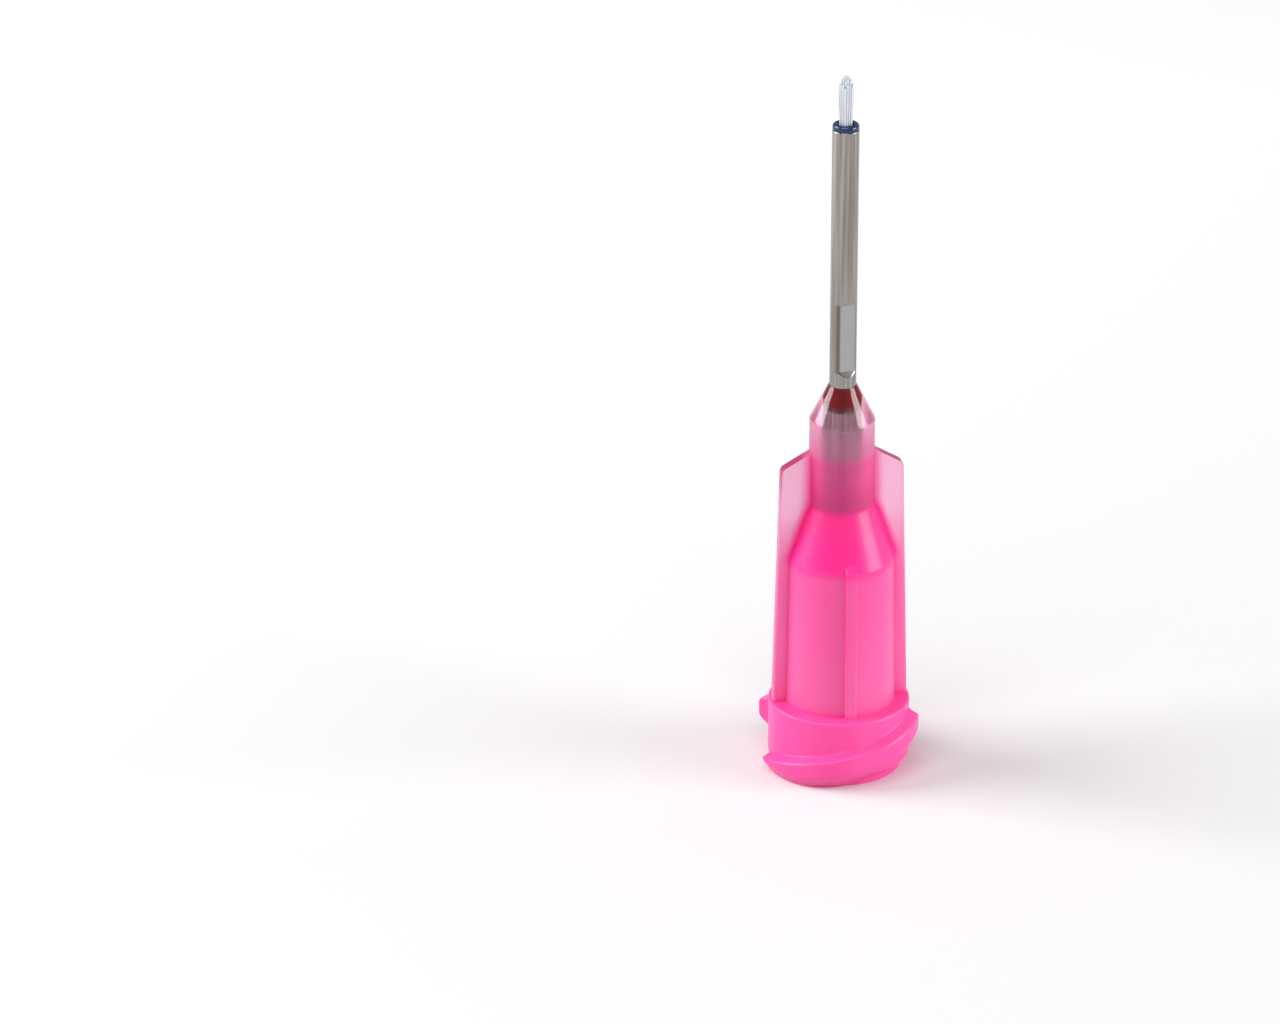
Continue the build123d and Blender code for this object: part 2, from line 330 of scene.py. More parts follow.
def rounded_outline(corners):
    """Points along a line of corners, each given as x, y, rounding and the longest step of the run after it.

    A rounding is the arc that touches both runs: its centre lies on the bisector, and the arc is drawn by
    turning from one touching point to the other in equal angles.
    """
    table = np.array(corners, float)
    places, roundings = table[:, :2], table[1:, 2]
    pieces = [places[:1]]
    steps = [table[0, 3]]
    for before, corner, after, rounding, step in zip(places, places[1:], places[2:], roundings, table[1:, 3]):
        to_before = (before - corner) / np.linalg.norm(before - corner)
        to_after = (after - corner) / np.linalg.norm(after - corner)
        half = math.acos(float(np.clip(to_before @ to_after, -1, 1))) / 2
        if rounding > 0:
            bisector = (to_before + to_after) / np.linalg.norm(to_before + to_after)
            centre = corner + bisector * rounding / math.sin(half)
            first = corner + to_before * rounding / math.tan(half) - centre
            last = corner + to_after * rounding / math.tan(half) - centre
            sweep = math.pi - 2 * half
            part = np.linspace(0, 1, ARC_POINTS)[:, None]
            blend = np.sin((1 - part) * sweep) * first + np.sin(part * sweep) * last
            arc = centre + blend / math.sin(sweep)
        else:
            arc = corner[None, :]
        pieces.append(arc)
        steps.extend([math.inf] * (len(arc) - 1) + [step])
    pieces.append(places[-1:])
    nodes = np.concatenate(pieces)
    counts = np.ceil(np.linalg.norm(np.diff(nodes, axis=0), axis=1) / steps)
    counts = np.maximum(counts, 1).astype(int)
    runs = [np.linspace(a, b, count, endpoint=False) for a, b, count in zip(nodes, nodes[1:], counts)]
    return np.concatenate(runs + [nodes[-1:]])


def soft_min(a, b, softness):
    """The lesser of two values, rounded over where they are within the softness of each other."""
    return (a + b - np.sqrt((a - b) ** 2 + softness ** 2)) / 2


def smooth(t):
    """Rises from 0 to 1 as t does, level at both ends."""
    t = np.clip(t, 0, 1)
    return t * t * (3 - 2 * t)


def eased(height, levels, values):
    """Goes through the values at the given levels, level at each of them and smooth in between."""
    numbers = np.arange(len(levels))
    place = np.interp(height, levels, numbers)
    return np.interp(np.floor(place) + smooth(place % 1), numbers, values)


def turned(radius, turn, height):
    """Points from arrays of radius, angle and height around the Z axis."""
    radius, turn, height = np.broadcast_arrays(radius, turn, height)
    return np.stack([radius * np.cos(turn), radius * np.sin(turn), height], axis=-1)


def around(points):
    """So many evenly spaced angles around the axis."""
    return np.linspace(0, 2 * math.pi, points, endpoint=False)


def grid_faces(rows, columns, ring):
    """Quads of a grid whose columns close on themselves, and whose rows do too where it is a ring."""
    row = np.arange(rows if ring else rows - 1)[:, None]
    column = np.arange(columns)[None, :]
    next_row = (row + 1) % rows
    next_column = (column + 1) % columns
    corners = np.stack([
        row * columns + column, row * columns + next_column,
        next_row * columns + next_column, next_row * columns + column], axis=-1)
    return corners.reshape(-1, 4)


def dissolve_flat_faces(mesh):
    """Take out the faces without area that a grid has where its rows run into each other."""
    shell = bmesh.new()
    shell.from_mesh(mesh)
    bmesh.ops.dissolve_degenerate(shell, dist=NEGLIGIBLE, edges=shell.edges)
    shell.to_mesh(mesh)
    shell.free()


def surface_object(name, points, ring, nodes, attributes=None):
    """An object from grids of points, shaped grids by rows by columns by 3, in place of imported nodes.

    A ring's last row joins its first, and any other grid is closed by a cap at either end. An attribute is an
    array with one value for each point.
    """
    grids, rows, columns = points.shape[:3]
    offset = np.arange(grids)[:, None, None] * rows * columns
    faces = (grid_faces(rows, columns, ring)[None] + offset).reshape(-1, 4).tolist()
    if not ring:
        rim = np.arange(columns)[None, :] + offset[:, 0]
        faces += rim[:, ::-1].tolist() + (rim + (rows - 1) * columns).tolist()
    mesh = bpy.data.meshes.new(name)
    mesh.from_pydata(points.reshape(-1, 3), [], faces)
    for key, values in (attributes or {}).items():
        layer = mesh.attributes.new(key, "FLOAT", "POINT")
        layer.data.foreach_set("value", np.broadcast_to(values, points.shape[:3]).ravel())
    dissolve_flat_faces(mesh)
    mesh.polygons.foreach_set("use_smooth", np.ones(len(mesh.polygons), bool))
    mesh.set_sharp_from_angle(angle=SHARP_EDGE)
    if mesh.validate():
        raise RuntimeError(f"{name} has faces that had to be removed")
    made = bpy.data.objects.new(name, mesh)
    bpy.context.scene.collection.objects.link(made)
    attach(made, "root")
    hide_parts(*nodes)
    return made


def new_material(name, **inputs):
    """A material with one principled shader whose inputs are set by name."""
    made = bpy.data.materials.new(name)
    made.use_nodes = True
    shader = made.node_tree.nodes["Principled BSDF"]
    for key, value in inputs.items():
        shader.inputs[key.replace("_", " ").title().replace("Ior", "IOR")].default_value = value
    return made, made.node_tree, shader


def cloud(tree, grain, stretch=1, detail=3):
    """Noise on the piece's own coordinates: so many grains in a metre, stretched along the Z axis."""
    place = tree.nodes.new("ShaderNodeTexCoord")
    mapping = tree.nodes.new("ShaderNodeMapping")
    mapping.inputs["Scale"].default_value = (grain, grain, grain / stretch)
    noise = tree.nodes.new("ShaderNodeTexNoise")
    noise.inputs["Scale"].default_value = 1
    noise.inputs["Detail"].default_value = detail
    tree.links.new(place.outputs["Object"], mapping.inputs["Vector"])
    tree.links.new(mapping.outputs["Vector"], noise.inputs["Vector"])
    return noise.outputs[0]


def attribute(tree, name):
    """The value of one of the piece's own attributes."""
    node = tree.nodes.new("ShaderNodeAttribute")
    node.attribute_name = name
    return node.outputs["Fac"]


def weighted(tree, value, weight, other):
    """One value times a weight, plus another value."""
    node = tree.nodes.new("ShaderNodeMath")
    node.operation = "MULTIPLY_ADD"
    node.inputs[1].default_value = weight
    tree.links.new(value, node.inputs[0])
    tree.links.new(other, node.inputs[2])
    return node.outputs["Value"]


def blend_colours(tree, value, *tones, start=0.35, end=0.65):
    """A ramp through evenly spaced colours as the value goes from start to end, without a kink on the way."""
    ramp = tree.nodes.new("ShaderNodeValToRGB")
    ramp.color_ramp.interpolation = "CARDINAL" if len(tones) > 2 else "LINEAR"
    elements = ramp.color_ramp.elements
    for _ in tones[2:]:
        elements.new(0.5)
    for element, place, tone in zip(elements, np.linspace(start, end, len(tones)), tones):
        element.position = place
        element.color = (*tone, 1)
    tree.links.new(value, ramp.inputs["Fac"])
    return ramp.outputs["Color"]


def tinted(tree, base, amount, tone):
    """A colour that goes over to another tone by the given amount."""
    mix = tree.nodes.new("ShaderNodeMixRGB")
    mix.inputs["Color2"].default_value = (*tone, 1)
    tree.links.new(amount, mix.inputs["Fac"])
    tree.links.new(base, mix.inputs["Color1"])
    return mix.outputs["Color"]


def spread(tree, value, low, high, start=0.3, end=0.7):
    """A value that goes from low to high as the given one does from start to end."""
    node = tree.nodes.new("ShaderNodeMapRange")
    node.inputs["From Min"].default_value = start
    node.inputs["From Max"].default_value = end
    node.inputs["To Min"].default_value = low
    node.inputs["To Max"].default_value = high
    tree.links.new(value, node.inputs["Value"])
    return node.outputs["Result"]


def roughen(tree, shader, value, depth, strength):
    """A bump of the given depth in metres on the shader's normal."""
    bump = tree.nodes.new("ShaderNodeBump")
    bump.inputs["Strength"].default_value = strength
    bump.inputs["Distance"].default_value = depth
    tree.links.new(value, bump.inputs["Height"])
    tree.links.new(bump.outputs["Normal"], shader.inputs["Normal"])


def thread_reach(hub, turn, height):
    """Radius of the double thread's surface at each angle and height, zero beside it.

    Each start is a crest that climbs by its lead in a turn. Above and below the crest its radius falls off
    along the two flanks, near the rim it is cut back by the lead-in, and it rises from nothing at its ends.
    """
    height = height + 0 * turn
    cut_back = hub.thread_radius - hub.lead_in_depth * (1 - height / hub.lead_in_height)
    reach = np.zeros_like(turn)
    for start in (0, math.pi):
        along = np.mod(turn - hub.thread_end + hub.thread_turn - start, 2 * math.pi)
        middle = hub.thread_end_height - hub.thread_lead * (hub.thread_turn - along) / (2 * math.pi)
        above = (height - middle - hub.thread_crest / 2) / math.tan(hub.pulling_flank)
        below = (middle - height - hub.thread_crest / 2) / math.tan(hub.free_flank)
        fall = np.maximum(above, below)
        flanks = soft_min(hub.thread_radius, hub.thread_radius - fall, hub.thread_rounding)
        crest = soft_min(flanks, cut_back, hub.thread_rounding / 2)
        rise = smooth(along / hub.thread_fade) * smooth((hub.thread_turn - along) / hub.thread_fade)
        start_reach = hub.base_radius + (crest - hub.base_radius) * rise
        reach = np.where(along < hub.thread_turn, np.maximum(reach, start_reach), reach)
    return reach


def plate_reach(corners, height, outside):
    """Reach of a plate at each height on the hub's outside, from its side's lower, upper and inner corner."""
    side = rounded_outline(corners)
    return np.where(outside, np.interp(height, side[:, 1], side[:, 0], left=0, right=0), 0)


def plate_edge(reach, radius, half, rounding):
    """Angles and radii along half a plate's level section, from the middle of its edge to its root.

    The section runs across the edge, around its rounding and along the side to the round body. Where the
    plate doesn't reach out of the body, the same points are shared out evenly on the body.
    """
    root = np.sqrt(radius ** 2 - half ** 2)
    tip = np.maximum(reach, root)
    across = np.linspace(0, 1, PLATE_EDGE_POINTS)
    bend = np.linspace(0, math.pi / 2, PLATE_BEND_POINTS)[1:]
    side = np.linspace(0, 1, PLATE_SIDE_POINTS)[1:]
    x = np.concatenate([
        tip + 0 * across,
        tip - rounding * (1 - np.cos(bend)),
        (tip - rounding) * (1 - side) + root * side], axis=1)
    y = np.concatenate([
        (half - rounding) * across, half - rounding * (1 - np.sin(bend)), half + 0 * side]) + 0 * root
    x = np.maximum(x, root)
    hidden = reach < root + rounding / 4
    even = np.linspace(0, 1, x.shape[1]) * np.arcsin(half / radius)
    turn = np.where(hidden, even, np.arctan2(y, x))
    return turn, np.where(hidden, radius, np.maximum(np.hypot(x, y), radius))


def hub_outline(hub, tube):
    """Radii and heights from the socket's mouth across the rim, up the outside and back down the inside."""
    seat = tube.radius - hub.seat_squeeze
    seat_bottom = tube.bottom + hub.seat_squeeze
    passage = tube.radius - tube.wall
    socket_end = hub.socket_mouth - hub.socket_taper * hub.socket_depth
    outline = rounded_outline([
        (hub.socket_mouth + hub.socket_chamfer, 0, 0, COARSE),
        (hub.rim_radius, 0, 0, FINE),
        (hub.rim_radius, hub.rim_land, 0, FINE),
        (hub.base_radius, hub.rim_land + hub.base_radius - hub.rim_radius, 0, FINE),
        (hub.base_radius, hub.base_height - hub.base_fall, hub.base_rounding, EVEN),
        (hub.body_lower, hub.base_height, 0, 2 * EVEN),
        (hub.body_upper, hub.shoulder_bottom, hub.shoulder_rounding, EVEN),
        (hub.neck_radius, hub.shoulder_top, hub.neck_rounding, EVEN),
        (hub.neck_radius, hub.wing_tip - hub.wing_corner, 0, FINE),
        (hub.neck_radius, hub.wing_root, 0, 2 * EVEN),
        (hub.neck_radius, hub.nose_bottom, hub.nose_rounding, EVEN),
        (tube.radius + hub.nose_land, hub.height, 0, FINE),
        (seat, hub.height, 0, COARSE),
        (seat, seat_bottom, 0, FINE),
        (passage, seat_bottom, 0, COARSE),
        (passage, hub.funnel_top, 0, COARSE),
        (socket_end, hub.socket_depth, 0, COARSE),
        (hub.socket_mouth, hub.socket_chamfer, 0, COARSE),
        (hub.socket_mouth + hub.socket_chamfer, 0, 0, COARSE),
    ])[:-1]
    return outline[:, :1], outline[:, 1:]


def hub_section(hub, radius, height, outside):
    """Angles and radii of each level section: the outline's circle with two wings and two ribs.

    A quarter runs from the middle of a wing's edge over the body to the middle of a rib's edge. It is
    mirrored to a half, and the half is turned to the whole.
    """
    wing_reach = plate_reach([
        (hub.wing_lower, hub.plate_bottom, 0, COARSE),
        (hub.wing_upper, hub.wing_tip, hub.wing_corner, COARSE),
        (hub.neck_radius, hub.wing_root, 0, COARSE)], height, outside)
    rib_reach = plate_reach([
        (hub.rib_lower, hub.plate_bottom, 0, COARSE),
        (hub.rib_upper, hub.rib_tip, hub.plate_rounding, COARSE),
        (hub.neck_radius, hub.rib_root, 0, COARSE)], height, outside)
    wing_turn, wing = plate_edge(wing_reach, radius, hub.wing_thickness / 2, hub.plate_rounding)
    rib_turn, rib = plate_edge(rib_reach, radius, hub.rib_thickness / 2, hub.plate_rounding)
    between = np.linspace(0, 1, BODY_POINTS)[1:-1]
    body_turn = wing_turn[:, -1:] * (1 - between) + (math.pi / 2 - rib_turn[:, -1:]) * between
    quarter_turn = np.concatenate([wing_turn, body_turn, math.pi / 2 - rib_turn[:, ::-1]], axis=1)
    quarter = np.concatenate([wing, radius + 0 * body_turn, rib[:, ::-1]], axis=1)
    half_turn = np.concatenate([quarter_turn, math.pi - quarter_turn[:, -2:0:-1]], axis=1)
    half = np.concatenate([quarter, quarter[:, -2:0:-1]], axis=1)
    turn = np.concatenate([half_turn, half_turn + math.pi], axis=1)
    return turn, np.concatenate([half, half], axis=1)


def hub_look(hub, turn, section, radius, height):
    """How thin, clear and rough the plastic is at each point, and how much it has of the wings' edge colour.

    The first three go smoothly from level to level of the round core, and over to the wings' own values as a
    wing reaches out of the core. The edge colour lies across a wing's edge and fades downwards.
    """
    # Height, thinness, clearness and roughness, from the base up to the nose
    core = np.array([
        (hub.base_height, 0.32, 0, hub.roughness),
        (hub.base_height + hub.plate_rounding, 0.37, 0.15, hub.roughness),
        (hub.shoulder_bottom - hub.shoulder_rounding, 0.34, 0.15, hub.roughness),
        (hub.shoulder_bottom + hub.shoulder_rounding, 0.16, 0, hub.roughness),
        (hub.shoulder_top - hub.neck_rounding, 0.06, 0, hub.roughness),
        (hub.shoulder_top + hub.neck_rounding, 0.29, 0.6, 0.5),
        (hub.wing_root - hub.wing_corner, 0.36, 0.65, 0.5),
        (hub.wing_root + hub.wing_corner, 0.63, 0.85, 0.4),
        (hub.nose_bottom - hub.nose_rounding, 0.68, 0.95, 0.28),
        (hub.nose_bottom + hub.nose_rounding, 1, 1, 0.06)]).T
    # The same for the wings, beside the shoulder
    wings = np.array([
        (hub.shoulder_bottom - 2 * hub.shoulder_rounding, 0.42, 0.1, hub.roughness),
        (hub.shoulder_top - hub.neck_rounding, 0.685, 0.5, hub.roughness)]).T
    out_of_core = (np.abs(section * np.cos(turn)) - radius) / hub.wing_blend
    wing_share = np.where(height > hub.base_height, np.clip(out_of_core, 0, 1), 0)
    look = {}
    for key, core_values, wing_values in zip(("thin", "clear", "rough"), core[1:], wings[1:]):
        on_core = eased(height, core[0], core_values)
        on_wing = np.interp(height, wings[0], wing_values)
        look[key] = on_core * (1 - wing_share) + on_wing * wing_share
    across = np.abs(section * np.sin(turn)) / (hub.wing_thickness / 2)
    fading = eased(height, (hub.wing_tip - hub.edge_fade, hub.wing_tip), (hub.edge_rest, 1))
    look["edge"] = wing_share * smooth((1 - across) / hub.edge_blur) * fading
    return look


def hub_points(hub, tube):
    """The hub as one closed surface: an outline carried around the axis, with radius as a function of angle.

    At each of the outline's heights the level section is the greatest of its circle, the wings, the ribs and
    the thread. The other result is the look of each point.
    """
    radius, height = hub_outline(hub, tube)
    outside = np.arange(len(height))[:, None] < np.argmax(height)
    turn, section = hub_section(hub, radius, height, outside)
    look = hub_look(hub, turn, section, radius, height)
    threaded = outside & (radius > hub.rim_radius - TOLERANCE) & (height < hub.base_height)
    section = np.where(threaded, np.maximum(section, thread_reach(hub, turn, height)), section)
    return turned(section, turn, height), look


def tube_points(tube):
    """The tube as one closed surface: a ring outline carried around the axis, pressed in at the crimp.

    The crimp cuts each circle off at two opposed flats. Their distance from the axis falls from the tube's
    own radius to the flat and rises again over the ramps, and the bore follows at the wall's thickness. The
    other results run from 0 to 1 at each point: how far it was pressed in, for a painted reflection that
    makes the flats lighter; how near the edge of a flat it lies, one edge more than the other, for painted
    shade; and how far the nose covers the tube, for a painted shade and pink tint there.
    """
    bore = tube.radius - tube.wall
    up = [tube.bottom, tube.painted_nose_shade_bottom - tube.painted_nose_shade_fade, tube.crimp_top, tube.top]
    steps = [TUBE_COARSE, TUBE_FINE, TUBE_COARSE, TUBE_FINE]
    outer = [(tube.radius, z, 0, step) for z, step in zip(up, steps)]
    inner = [(bore, z, 0, step) for z, step in zip(up[::-1], steps)]
    outer[-1] = (tube.radius, tube.top, tube.mouth_rounding, TUBE_FINE)
    outline = rounded_outline(outer + inner + [outer[0]])[:-1]
    radius, height = outline[:, :1], outline[:, 1:]
    turn = around(TUBE_POINTS)[None, :]
    from_flat = turn - math.pi / 2 - tube.crimp_turn
    pressed = smooth((height - tube.crimp_bottom) / tube.crimp_ramp)
    pressed = pressed * smooth((tube.crimp_top - height) / tube.crimp_ramp)
    flat = radius - (tube.radius - tube.crimp_flat) * pressed
    cut = flat / np.maximum(np.abs(np.cos(from_flat)), LEAST_FACING)
    section = np.where(pressed > 0, soft_min(radius, cut, tube.crimp_rounding * pressed), radius)
    # Painted shade along the edges of the flats, more at one edge than the other
    painted_crease_side = np.where(cut > radius, tube.painted_crease_reach, tube.painted_crease_width)
    first_edge = smooth(0.5 - np.sin(2 * from_flat))
    painted_crease_shade = np.exp(-((cut - radius) / painted_crease_side) ** 2) * smooth(pressed * 2 - 1)
    painted_crease_shade = painted_crease_shade * (tube.painted_crease_rest + (1 - tube.painted_crease_rest) * first_edge)
    # Painted shade and pink tint where the nose's plastic covers the tube
    painted_nose_shade = smooth((height - tube.painted_nose_shade_bottom) / tube.painted_nose_shade_fade)
    painted_nose_shade = painted_nose_shade * smooth((tube.painted_nose_shade_top - height) / tube.painted_nose_shade_fade)
    # The attributes carry painted light: a painted reflection where the flats are pressed in, painted shade
    # along their edges and a painted shade and pink tint under the nose
    return turned(section, turn, height), {
        "pressed": np.clip((radius - section) / tube.crimp_rounding, 0, 1), "painted_crease_shade": painted_crease_shade, "painted_nose_shade": painted_nose_shade}


def sleeve_points(sleeve):
    """The sleeve as a ring outline carried around the axis, with a rounded collar at its upper end."""
    collar_bottom = sleeve.top - sleeve.collar_height
    outline = rounded_outline([
        (sleeve.radius, sleeve.bottom, 0, COARSE),
        (sleeve.radius, collar_bottom, 0, COARSE),
        (sleeve.collar_radius, collar_bottom, 0, COARSE),
        (sleeve.collar_radius, sleeve.top, sleeve.outer_rounding, COARSE),
        (sleeve.bore, sleeve.top, sleeve.inner_rounding, COARSE),
        (sleeve.bore, sleeve.bottom, 0, COARSE),
        (sleeve.radius, sleeve.bottom, 0, COARSE)])[:-1]
    return turned(outline[:, :1], around(SLEEVE_POINTS)[None, :], outline[:, 1:])


def bristle_points(bristles, mouth):
    """All bristles as thin round rods, each a circle carried along a gently bent line with a rounded tip.

    In the sleeve a line is straight. Towards the collar's mouth the bundle is drawn in to its waist, where
    the bristles are pressed thinner, then it swells again, and each tip strays a little by itself.
    """
    chance = np.random.default_rng(bristles.seed)
    low, high = bristle_boxes[:, 0, :], bristle_boxes[:, 1, :]
    place = ((low + high) / 2)[:, None, None, :2]
    radius = ((high - low)[:, 0] / 2)[:, None, None]
    bottom, top = low[:, 2][:, None, None], high[:, 2][:, None, None]
    tip_angle = np.linspace(0, math.pi / 2, BRISTLE_TIP_POINTS)[1:-1, None]
    stem = np.linspace(0, 1, BRISTLE_STEM_POINTS)[:, None]
    shaft = bottom + (top - radius - bottom) * stem
    dome = top - radius + radius * np.sin(tip_angle)
    height = np.concatenate([shaft, dome], axis=1)
    thickness = np.concatenate([radius + 0 * shaft, radius * np.cos(tip_angle)], axis=1)
    free = (height - mouth) / (high[:, 2].max() - mouth)
    drawn_in = 1 - (1 - bristles.waist) * smooth(1 + free / bristles.waist_run)
    swelling = smooth((free - bristles.swell_start) / bristles.swell_run)
    width = drawn_in + (bristles.swell - bristles.waist) * swelling
    thickness = thickness * np.minimum(width, 1)
    free = np.clip(free, 0, 1)
    stray = chance.uniform(-1, 1, (len(place), 1, 1, 2)) * bristles.stray
    axis = place * width[..., None] + stray * (free ** 2)[..., None]
    turn = around(BRISTLE_POINTS)
    circle = np.stack([np.cos(turn), np.sin(turn)], axis=-1)
    level = axis + thickness[..., None] * circle
    return np.concatenate([level, np.broadcast_to(height[..., None], level.shape[:3] + (1,))], axis=-1)


def hub_plastic(hub):
    """Clear tinted plastic, cloudy in places, with a faintly uneven moulded skin."""
    made, tree, shader = new_material(
        "hub_plastic", ior=hub.refraction, specular_ior_level=hub.gloss,
        coat_weight=hub.coat, coat_roughness=hub.coat_roughness)
    mottle = cloud(tree, hub.mottle_grain, hub.mottle_stretch)
    thin = weighted(tree, mottle, hub.mottle, attribute(tree, "thin"))
    pink = blend_colours(
        tree, thin, hub.deep, hub.middle, hub.pale, hub.clearest, start=hub.deepest, end=1)
    tree.links.new(tinted(tree, pink, attribute(tree, "edge"), hub.edge), shader.inputs["Base Color"])
    passing = spread(tree, attribute(tree, "clear"), hub.cloudy, hub.clear, 0, 1)
    tree.links.new(passing, shader.inputs["Transmission Weight"])
    roughness = weighted(tree, cloud(tree, hub.skin_grain), hub.skin, attribute(tree, "rough"))
    tree.links.new(roughness, shader.inputs["Roughness"])
    dimples = cloud(tree, hub.dimple_grain, detail=1)
    roughen(tree, shader, dimples, hub.dimple_depth, hub.dimple_strength)
    depth = tree.nodes.new("ShaderNodeVolumeAbsorption")
    depth.inputs["Color"].default_value = (*hub.absorbed, 1)
    depth.inputs["Density"].default_value = hub.density
    tree.links.new(depth.outputs["Volume"], tree.nodes["Material Output"].inputs["Volume"])
    return made


def tube_steel(tube):
    """Drawn stainless steel: fine lines along the tube, brighter and duller, with a painted reflection on the
    crimp's flats, painted shade along their edges and a painted shade and pink tint under the nose.
    """
    made, tree, shader = new_material("tube_steel", metallic=1)
    lines = cloud(tree, tube.line_grain, tube.line_stretch, STEEL_DETAIL)
    steel = blend_colours(tree, lines, tube.dull, tube.bright)
    # Painted light on the steel: a painted reflection on the flats, painted shade along their edges and a
    # painted shade and pink tint under the nose
    for key, tone in (("pressed", tube.pressed), ("painted_crease_shade", tube.painted_crease_shade), ("painted_nose_shade", tube.painted_nose_shade)):
        steel = tinted(tree, steel, attribute(tree, key), tone)
    tree.links.new(steel, shader.inputs["Base Color"])
    polish = cloud(tree, tube.polish_grain, tube.polish_stretch)
    tree.links.new(spread(tree, polish, tube.smoothest, tube.roughest), shader.inputs["Roughness"])
    roughen(tree, shader, lines, tube.line_depth, tube.line_strength)
    return made


def sleeve_plastic(sleeve):
    """Glossy dark blue plastic with a slight cloud in it."""
    made, tree, shader = new_material("sleeve_plastic", ior=sleeve.refraction)
    blue = blend_colours(tree, cloud(tree, sleeve.grain), sleeve.dark, sleeve.light)
    tree.links.new(blue, shader.inputs["Base Color"])
    polish = cloud(tree, sleeve.polish_grain)
    tree.links.new(spread(tree, polish, sleeve.smoothest, sleeve.roughest), shader.inputs["Roughness"])
    return made


def bristle_nylon(bristles):
    """Milky nylon, each bristle a little lighter or darker than the next, with streaks along it."""
    made, tree, shader = new_material(
        "bristle_nylon", ior=bristles.refraction, transmission_weight=bristles.clear)
    streaks = cloud(tree, bristles.streak_grain, bristles.streak_stretch)
    shade = weighted(tree, attribute(tree, "strand"), bristles.difference, streaks)
    nylon = blend_colours(
        tree, shade, bristles.dark, bristles.light, start=bristles.darkest, end=bristles.lightest)
    tree.links.new(nylon, shader.inputs["Base Color"])
    tree.links.new(spread(tree, streaks, bristles.smoothest, bristles.roughest), shader.inputs["Roughness"])
    return made


class TIP_OT_hub(bpy.types.Operator):
    """Make the moulded hub with its socket, lock thread, wings and ribs"""

    bl_idname = "tip.hub"
    bl_label = "Make the hub"

    def execute(self, context):
        hub = context.scene.tip_hub
        points, look = hub_points(hub, context.scene.tip_tube)
        made = surface_object("hub_moulding", points[None], True, ["hub"], look)
        made.data.materials.append(hub_plastic(hub))
        return {"FINISHED"}


class TIP_OT_tube(bpy.types.Operator):
    """Make the steel tube with its crimp"""

    bl_idname = "tip.tube"
    bl_label = "Make the tube"

    def execute(self, context):
        tube = context.scene.tip_tube
        points, look = tube_points(tube)
        made = surface_object("tube_drawn", points[None], True, ["tube"], look)
        made.data.materials.append(tube_steel(tube))
        return {"FINISHED"}


class TIP_OT_sleeve(bpy.types.Operator):
    """Make the sleeve in the tube's open end"""

    bl_idname = "tip.sleeve"
    bl_label = "Make the sleeve"

    def execute(self, context):
        sleeve = context.scene.tip_sleeve
        points = sleeve_points(sleeve)
        made = surface_object("sleeve_ring", points[None], True, ["bristle_sleeve"])
        made.data.materials.append(sleeve_plastic(sleeve))
        return {"FINISHED"}


class TIP_OT_bristles(bpy.types.Operator):
    """Make the bundle of bristles"""

    bl_idname = "tip.bristles"
    bl_label = "Make the bristles"

    def execute(self, context):
        bristles = context.scene.tip_bristles
        points = bristle_points(bristles, context.scene.tip_sleeve.top)
        strand = np.random.default_rng(bristles.seed + 1).uniform(0, 1, (len(points), 1, 1))
        made = surface_object(
            "bristle_bundle", points, False, bristle_nodes, {"strand": strand})
        made.data.materials.append(bristle_nylon(bristles))
        return {"FINISHED"}


def area_lamp(name, place, aim, size, power):
    """A soft upright lamp at a place, turned towards its aim."""
    light = bpy.data.lights.new(name, "AREA")
    light.shape = "RECTANGLE"
    light.size, light.size_y = size
    light.energy = power
    made = bpy.data.objects.new(name, light)
    made.location = place
    made.rotation_euler = (Vector(aim) - Vector(place)).to_track_quat("-Z", "Y").to_euler()
    bpy.context.scene.collection.objects.link(made)
    return made


def studio_floor(stage):
    """A large pale floor with faint clouds, with painted shade that makes it darker at the front and paler
    towards the back.
    """
    half = stage.floor_size / 2
    corners = np.array([(-half, -half), (half, -half), (half, half), (-half, half)])
    mesh = bpy.data.meshes.new("studio_floor")
    mesh.from_pydata(np.c_[corners, np.full(4, -stage.floor_gap)], [], [[0, 1, 2, 3]])
    made = bpy.data.objects.new("studio_floor", mesh)
    bpy.context.scene.collection.objects.link(made)
    paint, tree, shader = new_material(
        "studio_floor", roughness=stage.floor_roughness, specular_ior_level=stage.floor_gloss)
    place = tree.nodes.new("ShaderNodeTexCoord")
    apart = tree.nodes.new("ShaderNodeSeparateXYZ")
    tree.links.new(place.outputs["Object"], apart.inputs["Vector"])
    # Painted shade: darker at the front, paler towards the back
    depth = weighted(tree, cloud(tree, stage.floor_grain), stage.floor_cloud, apart.outputs["Y"])
    pale = blend_colours(tree, depth, stage.floor_dark, stage.floor_light, start=0, end=stage.floor_fade)
    tree.links.new(pale, shader.inputs["Base Color"])
    mesh.materials.append(paint)
    return made


def studio_camera(stage):
    """A camera at the given angles, placed so that the rim's centre falls on its pixel in the picture."""
    data = bpy.data.cameras.new("studio_camera")
    data.sensor_width = stage.sensor
    data.lens = stage.lens
    data.clip_start = CAMERA_CLIP
    back = Vector((
        math.sin(stage.azimuth) * math.cos(stage.elevation),
        -math.cos(stage.azimuth) * math.cos(stage.elevation),
        math.sin(stage.elevation)))
    right = Vector((math.cos(stage.azimuth), math.sin(stage.azimuth), 0))
    up = back.cross(right)
    focal_pixels = stage.lens / stage.sensor * stage.image_size[0]
    across = (stage.rim_pixel[0] - stage.image_size[0] / 2) / focal_pixels
    down = (stage.rim_pixel[1] - stage.image_size[1] / 2) / focal_pixels
    made = bpy.data.objects.new("studio_camera", data)
    place = stage.distance * (back - across * right + down * up)
    made.matrix_world = Matrix.Translation(place) @ Matrix((right, up, back)).transposed().to_4x4()
    bpy.context.scene.collection.objects.link(made)
    bpy.context.scene.camera = made
    return made


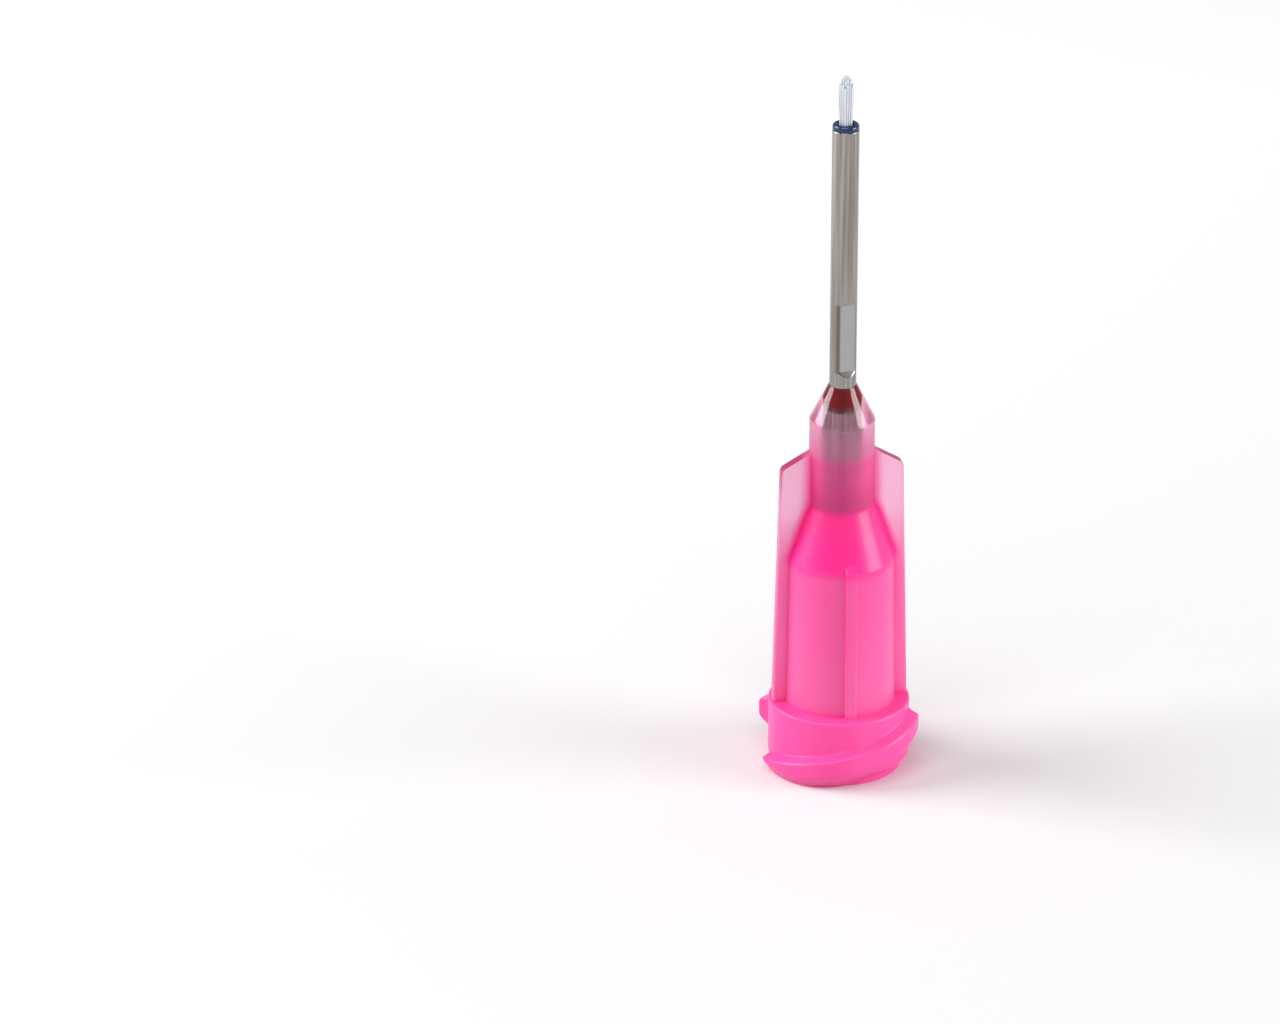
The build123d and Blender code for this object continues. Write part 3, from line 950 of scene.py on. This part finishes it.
def studio_world(stage):
    """Even white light from all round."""
    made = bpy.data.worlds.new("studio_world")
    made.use_nodes = True
    background = made.node_tree.nodes["Background"]
    background.inputs["Color"].default_value = (1, 1, 1, 1)
    background.inputs["Strength"].default_value = stage.world
    return made


class TIP_OT_stage(bpy.types.Operator):
    """Make the floor, the soft light and the camera"""

    bl_idname = "tip.stage"
    bl_label = "Make the stage"

    def execute(self, context):
        stage = context.scene.tip_stage
        aim = (0, 0, hub_top.z)
        context.scene.world = studio_world(stage)
        context.scene.view_settings.view_transform = "Standard"
        studio_floor(stage)
        area_lamp("key_lamp", stage.key_place, aim, stage.key_size, stage.key)
        area_lamp("fill_lamp", stage.fill_place, aim, stage.fill_size, stage.fill)
        area_lamp("front_lamp", stage.front_place, aim, stage.front_size, stage.front)
        studio_camera(stage)
        return {"FINISHED"}


class TIP_PT_panel(bpy.types.Panel):
    """Lists the pieces in the order in which they are made"""

    bl_idname = "TIP_PT_panel"
    bl_label = "Dispensing tip"
    bl_space_type = "VIEW_3D"
    bl_region_type = "UI"
    bl_category = "Tip"

    def draw(self, context):
        for operator in operators:
            self.layout.operator(operator.bl_idname)


groups = {
    "tip_hub": TipHub,
    "tip_tube": TipTube,
    "tip_sleeve": TipSleeve,
    "tip_bristles": TipBristles,
    "tip_stage": TipStage,
}
operators = (TIP_OT_hub, TIP_OT_tube, TIP_OT_sleeve, TIP_OT_bristles, TIP_OT_stage)


def register():
    """Register the settings, the operators and the panel."""
    for name, group in groups.items():
        bpy.utils.register_class(group)
        setattr(bpy.types.Scene, name, bpy.props.PointerProperty(type=group))
    for operator in operators:
        bpy.utils.register_class(operator)
    bpy.utils.register_class(TIP_PT_panel)


def unregister():
    """Take everything out again in the reverse order."""
    bpy.utils.unregister_class(TIP_PT_panel)
    for operator in reversed(operators):
        bpy.utils.unregister_class(operator)
    for name, group in reversed(groups.items()):
        delattr(bpy.types.Scene, name)
        bpy.utils.unregister_class(group)


def main():
    """Make every piece and the stage."""
    register()
    bpy.ops.tip.hub()
    bpy.ops.tip.tube()
    bpy.ops.tip.sleeve()
    bpy.ops.tip.bristles()
    bpy.ops.tip.stage()


if __name__ == "__main__":
    main()
